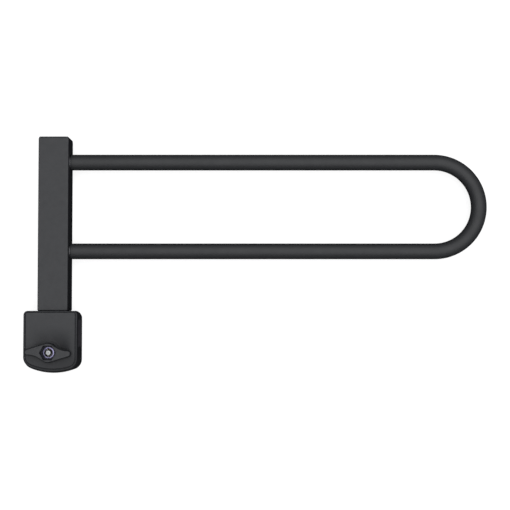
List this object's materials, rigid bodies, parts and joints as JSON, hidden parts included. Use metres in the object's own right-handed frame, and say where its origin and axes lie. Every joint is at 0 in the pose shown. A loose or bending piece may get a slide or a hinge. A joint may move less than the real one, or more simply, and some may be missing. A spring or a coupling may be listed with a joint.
{
  "type": "u lock",
  "caption": "Long-shackle U-lock with a square crossbar, a lock head at one end and a winged knob round a tubular key cylinder",
  "frame": {"origin": "On the crossbar's flat back face, midway between the shackle's two legs", "axes": "+X runs along the shackle away from the crossbar, +Y runs along the crossbar away from the lock head, +Z points out of the key side; the lock lies on its back"},
  "size_m": [0.526, 0.2677, 0.0464],
  "materials": {
    "cover_plastic": "Black, fine moulded texture",
    "vinyl": "Black, smooth satin vinyl",
    "soft_grip": "Dark grey, satin",
    "nylon": "Natural white, moulded",
    "hard_steel": "Hardened, ground",
    "spring_steel": "Bright drawn steel",
    "dark_zinc": "Black passivated zinc casting",
    "violet_steel": "Polished steel with a violet temper colour",
    "nickel": "Bright nickel plate",
    "brass": "Turned brass",
    "seal_rubber": "Black nitrile rubber"
  },
  "bodies": {
    "frame": {"crossbar_cover": "cover_plastic", "crossbar_tube": "hard_steel", "tube_end_plug": "hard_steel", "end_plug_pin": "spring_steel", "foot_socket_upper": "nylon", "foot_socket_lower": "nylon", "case_pin": "spring_steel", "head_front": "cover_plastic", "head_rear": "cover_plastic", "grip_right": "soft_grip", "grip_left": "soft_grip", "head_screw_1": "spring_steel", "head_screw_2": "spring_steel", "head_screw_3": "spring_steel", "head_screw_4": "spring_steel", "lock_case": "hard_steel", "case_lid": "hard_steel", "case_screw_1": "spring_steel", "case_screw_2": "spring_steel", "case_screw_3": "spring_steel", "case_screw_4": "spring_steel"},
    "shackle": {"shackle_rod": "hard_steel", "shackle_coating": "vinyl"},
    "bolt_work": {"lock_bar": "hard_steel", "bolt_upper": "hard_steel", "bolt_lower": "hard_steel", "bolt_rivet_upper": "spring_steel", "bolt_rivet_lower": "spring_steel"},
    "knob": {"turn_knob": "cover_plastic", "knob_spindle": "dark_zinc", "knob_seal": "seal_rubber", "spindle_base": "dark_zinc", "cylinder_shell": "violet_steel", "driver_block": "brass", "driver_pin_1": "brass", "driver_pin_2": "brass", "driver_pin_3": "brass", "driver_pin_4": "brass", "driver_pin_5": "brass", "driver_pin_6": "brass", "driver_pin_7": "brass", "pin_spring_1": "spring_steel", "pin_spring_2": "spring_steel", "pin_spring_3": "spring_steel", "pin_spring_4": "spring_steel", "pin_spring_5": "spring_steel", "pin_spring_6": "spring_steel", "pin_spring_7": "spring_steel"},
    "plug": {"key_plug": "nickel", "tail_cam": "hard_steel", "key_pin_1": "brass", "key_pin_2": "brass", "key_pin_3": "brass", "key_pin_4": "brass", "key_pin_5": "brass", "key_pin_6": "brass", "key_pin_7": "brass"},
    "interlock": {"interlock_bolt": "hard_steel"}
  },
  "joints": [
    {"name": "shackle_slide", "type": "slide", "parent": "frame", "child": "shackle", "axis": [1, 0, 0], "range_m": [0, 0.06]},
    {"name": "knob_turn", "type": "hinge", "parent": "frame", "child": "knob", "pos_m": [-0.0035, -0.166, 0.04], "axis": [0, 0, 1], "range_deg": [0, 45]},
    {"name": "lock_bar_slide", "type": "slide", "parent": "frame", "child": "bolt_work", "axis": [0, 1, 0], "range_m": [0, 0.0088]},
    {"name": "key_turn", "type": "hinge", "parent": "knob", "child": "plug", "pos_m": [-0.0035, -0.166, 0.03], "axis": [0, 0, 1], "range_deg": [0, 90]},
    {"name": "interlock_slide", "type": "slide", "parent": "knob", "child": "interlock", "axis": [-1, 0, 0], "range_m": [0, 0.00283]}
  ],
  "couplings": [
    {"joint": "lock_bar_slide", "follows": "knob_turn", "m_per_rad": 0.0112},
    {"joint": "interlock_slide", "follows": "key_turn", "m_per_rad": 0.0018}
  ]
}
